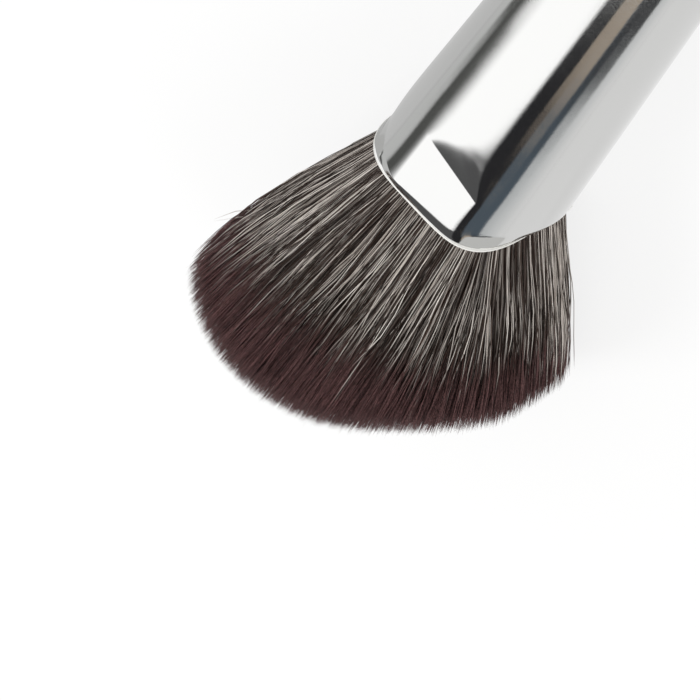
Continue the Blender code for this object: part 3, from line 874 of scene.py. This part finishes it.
reach, tipY, tipZ = tipOf(u, v)
lockTipY, lockTipZ = tipOf(lockU, lockV)[1:]
mouthY, mouthZ = u * insideWidth, v * insideDepth
lockMouthY, lockMouthZ = lockU * insideWidth, lockV * insideDepth
reach = reach + dice.normal(0.0, hair["ragged"], count)
endsEarly = dice.random(count) < hair["shortShare"]
reach = reach - np.where(endsEarly, hair["shortBy"] * dice.random(count) ** 2, 0.0)
# outer strands stay in line
outward = np.maximum(np.abs(u), np.abs(v))
tipY = tipY + dice.normal(0.0, hair["scatterAcross"], count) * falling(np.abs(u), *hair["calmAcross"])
tipZ = tipZ + dice.normal(0.0, hair["scatterThrough"], count) * falling(outward, *hair["calmThrough"])

startX = rimAt(u)
x = startX[:, None] + (-reach - startX)[:, None] * rowShares
x[:, 0] = hair["rootDepth"]
lateral = spreadOf(u)
y = mouthY[:, None] + (tipY - mouthY)[:, None] * lateral
z = mouthZ[:, None] + (tipZ - mouthZ)[:, None] * lateral
pull = hair["lockPull"] * np.sin(np.pi * rowShares ** hair["pullEase"])
lateral = spreadOf(lockU)
lockY = (lockMouthY[:, None] + (lockTipY - lockMouthY)[:, None] * lateral)[lock]
lockZ = (lockMouthZ[:, None] + (lockTipZ - lockMouthZ)[:, None] * lateral)[lock]
y = y + (lockY - y) * pull
z = z + (lockZ - z) * pull
# soft waves: the lock's own and the strand's own
for size, waves, picks in (
    (hair["lockWobble"], hair["lockWaves"], lock),
    (hair["wobble"], hair["wobbleWaves"], np.arange(count)),
):
    groups = int(picks.max()) + 1
    phaseY, phaseZ = dice.random(groups) * 2 * np.pi, dice.random(groups) * 2 * np.pi
    beat = waves * someBetween(*hair["someWaves"], groups)
    amount = size * someBetween(*hair["someSize"], groups)
    angleAt = 2 * np.pi * beat[picks][:, None] * rowShares
    grow = np.sin(rowShares * np.pi * hair["waveEnd"])
    y = y + (amount[picks][:, None] * np.sin(angleAt + phaseY[picks][:, None]) * grow)
    through = amount[picks][:, None] * np.sin(angleAt + phaseZ[picks][:, None]) * grow
    z = z + hair["wobbleThrough"] * through
y[:, 0] *= hair["rootShare"]
z[:, 0] *= hair["rootShare"]

# a few loose hairs stand off from the long edge
loose = np.argsort(-u * np.sign(v - hair["looseFrom"]))[:len(hair["flyaways"])]
for index, (looseX, looseY, looseZ) in zip(loose, hair["flyaways"]):
    share = rowShares[0]
    spring = share * (1.0 + hair["looseSpring"] * (1.0 - share))
    x[index, 1:] = (startX[index] + (looseX - startX[index]) * share)[1:]
    y[index, 1:] = (mouthY[index] + (looseY - mouthY[index]) * spring)[1:]
    z[index, 1:] = (mouthZ[index] + (looseZ - mouthZ[index]) * spring)[1:]
y = np.clip(y, *hair["widest"])

centres = np.stack([x, y, z], axis=-1)

# each strand's looks: how pale its root part is, where it turns dark, and a chance value
chance = dice.random(count)
# painted shade: strands inside the tuft are less often pale, for the shade within it
surface = np.clip((outward - hair["skinStarts"]) / hair["skinWidth"], 0.0, 1.0)
paleOdds = hair["paleInShade"] + (hair["paleShare"] - hair["paleInShade"]) * surface
# both side edges get more pale strands: partly their own mix, partly painted light where the edges catch
# it
sideEdge = np.clip((np.abs(u) - hair["edgeStarts"]) / hair["edgeWidth"], 0.0, 1.0)
shortEdge = np.where(u < 0, sideEdge * falling(v, *hair["shortEdgeLow"]), 0.0)
longEdge = np.where(u > 0, sideEdge, 0.0)
paleOdds = paleOdds * (1.0 + hair["fewerShort"] * np.minimum(u, 0.0))
paleOdds = paleOdds + hair["moreShortEdge"] * shortEdge + hair["moreLongEdge"] * longEdge
luck = dice.random(count)
paleTones, darkTones = someBetween(*hair["paleTone"], count), someBetween(*hair["darkTone"], count)
pale = np.where(luck < paleOdds, paleTones, darkTones)
grey = (luck >= paleOdds) & (luck < paleOdds + hair["greyShare"])
pale = np.where(grey, someBetween(*hair["greyTone"], count), pale)
fade = hair["turnsDark"] + dice.normal(0.0, hair["turnsBy"], count)
# pale further along at the short edge: partly painted light there
fade = fade + hair["laterShortEdge"] * shortEdge + hair["laterLongSide"] * np.clip(u, 0.0, 1.0)
fade = np.clip(fade, *hair["turnsWithin"])
pale[loose], fade[loose] = hair["looseTone"], hair["looseTurns"]
thinAt, thinTo = zip(*hair["thinning"], (1.0, hair["tipRadius"] / hair["radius"]))
thin = np.interp(shares, thinAt, thinTo)
thick = someBetween(*hair["thickness"], count) + hair["paleThicker"] * pale
radii = hair["radius"] * thick[:, None] * thin[None, :]


# three-sided tapered tubes along the picked strands, in one mesh
def strandPiece(name, picks):
    line = centres[picks]
    wide = radii[picks]
    number, rows = line.shape[:2]
    ahead = np.gradient(line, axis=1)
    ahead /= np.linalg.norm(ahead, axis=2, keepdims=True)
    side = np.cross(ahead, np.array([0.0, 0.0, 1.0]))
    side /= np.linalg.norm(side, axis=2, keepdims=True)
    other = np.cross(side, ahead)
    start = dice.random(number) * 2 * np.pi
    corners = []
    for k in range(3):
        angle = start + 2 * np.pi * k / 3.0
        outwards = np.cos(angle)[:, None, None] * side + np.sin(angle)[:, None, None] * other
        corners.append(line + wide[..., None] * outwards)
    rings = np.stack(corners, axis=2)[:, :-1].reshape(number, (rows - 1) * 3, 3)
    points = np.concatenate([rings, line[:, -1:, :]], axis=1)
    each = points.shape[1]
    faces4, faces3 = [], []
    for r in range(rows - 2):
        for k in range(3):
            a, b = 3 * r + k, 3 * r + (k + 1) % 3
            faces4.append((a, b, b + 3, a + 3))
    last = 3 * (rows - 2)
    for k in range(3):
        faces3.append((last + k, last + (k + 1) % 3, each - 1))
    faces3.append((2, 1, 0))
    offset = (np.arange(number) * each)[:, None, None]
    quads = (np.array(faces4)[None] + offset).reshape(-1, 4)
    tris = (np.array(faces3)[None] + offset).reshape(-1, 3)
    flat = points.reshape(-1, 3)
    laid = np.array(layDown)
    placed = flat @ laid[:3, :3].T + laid[:3, 3]
    placed[:, 2] = np.maximum(placed[:, 2], hair["floorGap"] * mm)
    mesh = bpy.data.meshes.new(name)
    mesh.vertices.add(len(placed))
    mesh.vertices.foreach_set("co", placed.astype(np.float32).ravel())
    loops = np.concatenate([quads.ravel(), tris.ravel()]).astype(np.int32)
    mesh.loops.add(len(loops))
    mesh.loops.foreach_set("vertex_index", loops)
    sizes = np.concatenate([np.full(len(quads), 4), np.full(len(tris), 3)]).astype(np.int32)
    mesh.polygons.add(len(sizes))
    mesh.polygons.foreach_set("loop_start", (np.cumsum(sizes) - sizes).astype(np.int32))
    mesh.polygons.foreach_set("loop_total", sizes)
    mesh.update(calc_edges=True)
    mesh.polygons.foreach_set("use_smooth", np.ones(len(sizes), dtype=bool))
    along = np.concatenate([np.repeat(shares[:-1], 3), shares[-1:]])
    columns = {
        "along": np.tile(along, number),
        "chance": np.repeat(chance[picks], each),
        "pale": np.repeat(pale[picks], each),
        "fade": np.repeat(fade[picks], each),
    }
    for label, values in columns.items():
        column = mesh.attributes.new(label, "FLOAT", "POINT")
        column.data.foreach_set("value", values.astype(np.float32))
    mesh.validate()
    piece = bpy.data.objects.new(name, mesh)
    scene.collection.objects.link(piece)
    return piece


# Tapered nylon-like filament, dyed dark brown at the tip and left a pale warm grey at the root: soft
# sheen along each strand, and a matt look with painted specks of light and shade where the fine tips
# stand close together.
filamentValues = {
    "darkRoots": ("#140D0A", "#402F27"),  # each from one colour to the other, by chance
    "darkTips": ("#150D0D", "#7C5A59"),
    "paleRoots": ("#C6BBB2", "#FFF8F0"),
    "dyeEdge": (-0.13, 0.11),  # shares of a strand over which the pale part ends
    "tipStarts": 0.5,
    "tipFull": 0.85,
    # painted light: specks of lighter and darker tip colour
    "speckSize": 0.2,  # millimetres, coarser than the real tips so that it shows
    "speckRange": (0.36, 0.64),
    "speckShare": 0.5,
    "roughness": 0.5,
    "gloss": 0.12,
}
filament, tree, shader = newMaterial("tipDyedFilament")
looks = {
    label: addNode(tree, "ShaderNodeAttribute", attribute_name=label).outputs["Fac"]
    for label in ("along", "chance", "pale", "fade")
}
past = addNode(
    tree, "ShaderNodeMath", {0: looks["along"], 1: looks["fade"]}, operation="SUBTRACT",
).outputs[0]
left = addNode(
    tree, "ShaderNodeMapRange",
    {
        0: past, 1: filamentValues["dyeEdge"][0], 2: filamentValues["dyeEdge"][1],
        3: 1.0, 4: 0.0,
    },
    interpolation_type="SMOOTHSTEP",
).outputs[0]
paleShare = addNode(
    tree, "ShaderNodeMath", {0: left, 1: looks["pale"]}, operation="MULTIPLY",
).outputs[0]
nearTip = addNode(
    tree, "ShaderNodeMapRange",
    {0: looks["along"], 1: filamentValues["tipStarts"], 2: filamentValues["tipFull"]},
    interpolation_type="SMOOTHSTEP",
).outputs[0]
# painted light: fine tips catch light unevenly, painted as a grain of lighter and darker specks
place = addNode(tree, "ShaderNodeTexCoord").outputs["Object"]
specks = addNode(
    tree, "ShaderNodeTexNoise",
    {"Vector": place, "Scale": 1.0 / (filamentValues["speckSize"] * mm), "Detail": 1.0},
).outputs["Fac"]
speckle = addNode(
    tree, "ShaderNodeMapRange",
    {0: specks, 1: filamentValues["speckRange"][0], 2: filamentValues["speckRange"][1]},
).outputs[0]
glintSpeckChance = addNode(
    tree, "ShaderNodeMix", {0: filamentValues["speckShare"], 2: looks["chance"], 3: speckle},
    data_type="FLOAT",
).outputs[0]


# a colour that runs from one hex to the other by a chance value
def strandShade(ends, chance):
    node = addNode(tree, "ShaderNodeValToRGB", {0: chance})
    for element, hexColour in zip(node.color_ramp.elements, ends):
        element.color = toLinear(hexColour)
    return node.outputs[0]


darkRoot = strandShade(filamentValues["darkRoots"], looks["chance"])
darkTip = strandShade(filamentValues["darkTips"], glintSpeckChance)
paleRoot = strandShade(filamentValues["paleRoots"], looks["chance"])
dark = addNode(
    tree, "ShaderNodeMix", {0: nearTip, 6: darkRoot, 7: darkTip}, data_type="RGBA",
).outputs[2]
colour = addNode(
    tree, "ShaderNodeMix", {0: paleShare, 6: dark, 7: paleRoot}, data_type="RGBA",
).outputs[2]
tree.links.new(colour, shader.inputs["Base Color"])
shader.inputs["Roughness"].default_value = filamentValues["roughness"]
shader.inputs["Specular IOR Level"].default_value = filamentValues["gloss"]

order = np.argsort(u + dice.normal(0.0, hair["bandMix"], count))  # bands that mix a little
total = 0
for band, picks in enumerate(np.array_split(order, hair["bands"])):
    piece = strandPiece(f"tuft_band_{band + 1}", picks)
    piece.data.materials.append(filament)
    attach(piece, "root")
    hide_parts("hair_tuft")
    total += len(piece.data.polygons)
print("tuft:", count, "strands,", total, "faces")

# The unseen pieces inside the ferrule keep their solids: poured resin, glassy with faint cloud;
# waxed twisted cotton, matt; dried white glue, satin and uneven.
hiddenValues = {
    # node, material, colour, roughness and the size of its cloud in millimetres
    "pieces": [
        ("epoxy_plug", "castAmberEpoxy", "#C3AC72", 0.3, 0.6),
        ("binding_thread", "waxedCottonThread", "#CFC6B4", 0.75, 0.25),
        ("handle_glue_sleeve", "driedWoodGlue", "#D9CDA8", 0.5, 0.9),
    ],
    "shade": 0.72,  # how bright the cloud's dark parts are, as a share of the colour
    "riseHeight": 0.1,  # millimetres
    "riseStrength": 0.2,
}
for node, name, hexColour, roughness, size in hiddenValues["pieces"]:
    material, tree, shader = newMaterial(name)
    place = addNode(tree, "ShaderNodeTexCoord").outputs["Object"]
    cloud = addNode(
        tree, "ShaderNodeTexNoise", {"Vector": place, "Scale": 1.0 / (size * mm), "Detail": 3.0},
    ).outputs["Fac"]
    tone = addNode(tree, "ShaderNodeValToRGB", {0: cloud}).outputs[0]
    full = toLinear(hexColour)
    tone.node.color_ramp.elements[0].color = (*[c * hiddenValues["shade"] for c in full[:3]], 1.0)
    tone.node.color_ramp.elements[1].color = full
    rise = addNode(
        tree, "ShaderNodeBump",
        {
            "Strength": hiddenValues["riseStrength"], "Distance": hiddenValues["riseHeight"] * mm,
            "Height": cloud,
        },
    ).outputs[0]
    tree.links.new(tone, shader.inputs["Base Color"])
    tree.links.new(rise, shader.inputs["Normal"])
    shader.inputs["Roughness"].default_value = roughness
    for slot in frame["nodes"][node].material_slots:
        slot.material = material
print("unseen pieces dressed")
